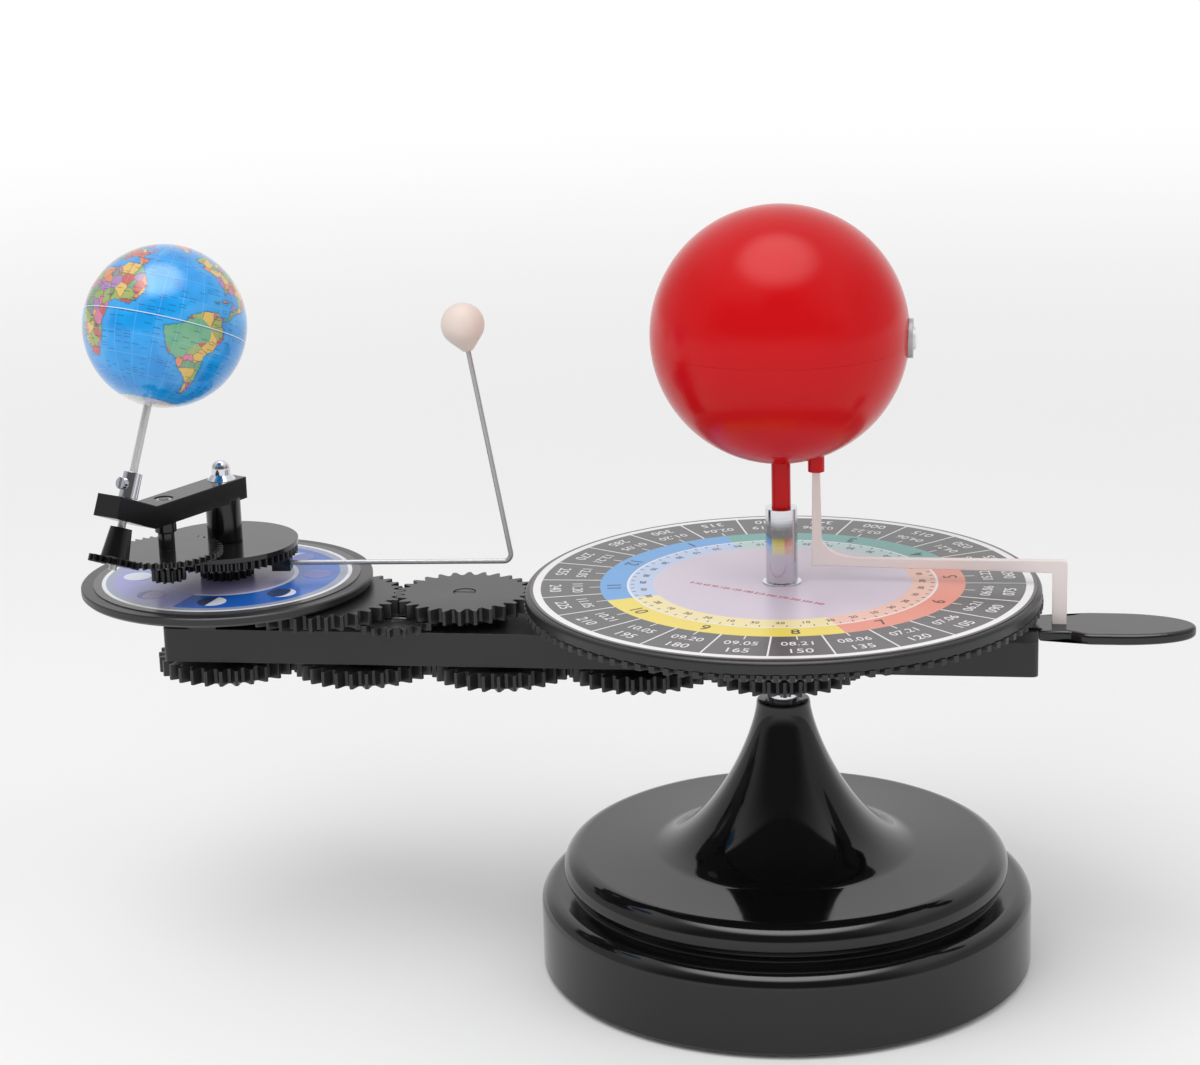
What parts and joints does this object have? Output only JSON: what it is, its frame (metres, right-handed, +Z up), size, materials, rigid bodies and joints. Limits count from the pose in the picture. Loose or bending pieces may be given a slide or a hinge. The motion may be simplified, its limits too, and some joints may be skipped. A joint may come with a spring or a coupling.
{
  "type": "tellurion",
  "caption": "Geared desk tellurion: a hand-turned beam carries a tilted Earth and a wire-mounted Moon round a red sun on a chrome post above a printed dial.",
  "frame": {"origin": "on the post axis at the underside of the rubber pad, the surface that the stand rests on", "axes": "+Z up the post, +X along the beam towards the hand paddle, the Earth end at -X"},
  "size_m": [0.3554, 0.163, 0.246],
  "materials": {
    "base_gloss": "gloss moulded",
    "black_plastic": "satin moulded",
    "gear_plastic": "satin moulded",
    "rubber_foot": "matte",
    "chrome": "polished",
    "steel": "bright",
    "dial_print": "printed satin",
    "phase_print": "printed satin",
    "sun_red": "gloss moulded",
    "cream_plastic": "satin moulded",
    "moon_ivory": "satin moulded",
    "globe_print": "printed gloss",
    "switch_grey": "satin moulded",
    "button_white": "gloss moulded",
    "lamp_glass": "clear"
  },
  "bodies": {
    "stand": {"base_shell": "base_gloss", "base_cover": "black_plastic", "foot_pad": "rubber_foot", "post": "chrome", "fixed_gear": "gear_plastic", "thrust_washer": "steel", "dial_gear": "gear_plastic", "dial_plate": "gear_plastic", "dial_label": "dial_print"},
    "arm": {"beam": "black_plastic", "handle": "black_plastic", "handle_screw": "steel", "bracket": "cream_plastic", "phase_disc": "gear_plastic", "phase_skirt": "gear_plastic", "phase_label": "phase_print", "screw_d": "steel", "screw_c": "steel", "screw_b": "steel", "screw_main": "steel", "screw_small": "steel", "screw_idler": "steel", "sun_stem": "sun_red", "sun_lower": "sun_red", "sun_upper": "sun_red", "switch_bezel": "switch_grey", "switch_body": "switch_grey", "battery_case": "black_plastic", "lamp": "lamp_glass"},
    "lower_idler_d": {"gear_d": "gear_plastic"},
    "lower_idler_c": {"gear_c": "gear_plastic"},
    "lower_idler_b": {"gear_b": "gear_plastic"},
    "main_gear": {"gear_main": "gear_plastic"},
    "small_gear": {"gear_small": "gear_plastic"},
    "upper_idler": {"gear_idler": "gear_plastic"},
    "carrier": {"end_gear": "gear_plastic", "carrier_shaft": "steel", "carrier_arm": "black_plastic", "carrier_screw": "chrome"},
    "moon": {"moon_pinion": "gear_plastic", "moon_gear": "gear_plastic", "moon_wire": "steel", "moon_ball": "moon_ivory"},
    "carrier_axle": {"axle_pinion": "gear_plastic", "axle_disc": "gear_plastic", "axle_clip": "steel"},
    "earth": {"earth_pinion": "gear_plastic", "earth_rod": "steel", "earth_collar": "chrome", "collar_screw": "chrome", "earth_south": "globe_print", "earth_north": "globe_print"},
    "button": {"switch_button": "button_white"}
  },
  "joints": [
    {"name": "arm_turn", "type": "hinge", "parent": "stand", "child": "arm", "pos_m": [0, 0, 0.103], "axis": [0, 0, 1], "continuous": true},
    {"name": "idler_d_spin", "type": "hinge", "parent": "arm", "child": "lower_idler_d", "pos_m": [-0.045, 0, 0.096], "axis": [0, 0, 1], "continuous": true},
    {"name": "idler_c_spin", "type": "hinge", "parent": "arm", "child": "lower_idler_c", "pos_m": [-0.09, 0, 0.096], "axis": [0, 0, 1], "continuous": true},
    {"name": "idler_b_spin", "type": "hinge", "parent": "arm", "child": "lower_idler_b", "pos_m": [-0.135, 0, 0.096], "axis": [0, 0, 1], "continuous": true},
    {"name": "main_gear_spin", "type": "hinge", "parent": "arm", "child": "main_gear", "pos_m": [-0.102, 0, 0.1172], "axis": [0, 0, 1], "continuous": true},
    {"name": "small_gear_spin", "type": "hinge", "parent": "arm", "child": "small_gear", "pos_m": [-0.12166, -0.01377, 0.103], "axis": [0, 0, 1], "continuous": true},
    {"name": "upper_idler_spin", "type": "hinge", "parent": "arm", "child": "upper_idler", "pos_m": [-0.14819, -0.00533, 0.1172], "axis": [0, 0, 1], "continuous": true},
    {"name": "carrier_turn", "type": "hinge", "parent": "arm", "child": "carrier", "pos_m": [-0.18, 0, 0.096], "axis": [0, 0, 1], "continuous": true},
    {"name": "moon_orbit", "type": "hinge", "parent": "arm", "child": "moon", "pos_m": [-0.18, 0, 0.138], "axis": [0, 0, 1], "continuous": true},
    {"name": "carrier_axle_spin", "type": "hinge", "parent": "carrier", "child": "carrier_axle", "pos_m": [-0.19192, -0.02445, 0.138], "axis": [0, 0, 1], "continuous": true},
    {"name": "earth_spin", "type": "hinge", "parent": "carrier", "child": "earth", "pos_m": [-0.2024, -0.04593, 0.14357], "axis": [0.1748, 0.3584, 0.9171], "continuous": true},
    {"name": "button_press", "type": "slide", "parent": "arm", "child": "button", "axis": [-1, 0, 0], "range_m": [0, 0.0012], "stiffness_N_per_m": 300}
  ],
  "couplings": [
    {"joint": "idler_d_spin", "follows": "arm_turn", "ratio": 1},
    {"joint": "idler_c_spin", "follows": "arm_turn", "ratio": -1},
    {"joint": "idler_b_spin", "follows": "arm_turn", "ratio": 1},
    {"joint": "main_gear_spin", "follows": "arm_turn", "ratio": 3.8571},
    {"joint": "small_gear_spin", "follows": "arm_turn", "ratio": -3.8571},
    {"joint": "upper_idler_spin", "follows": "arm_turn", "ratio": -3.1765},
    {"joint": "carrier_turn", "follows": "arm_turn", "ratio": -1},
    {"joint": "moon_orbit", "follows": "arm_turn", "ratio": 12},
    {"joint": "carrier_axle_spin", "follows": "arm_turn", "ratio": -60.667},
    {"joint": "earth_spin", "follows": "arm_turn", "ratio": 141.56}
  ]
}
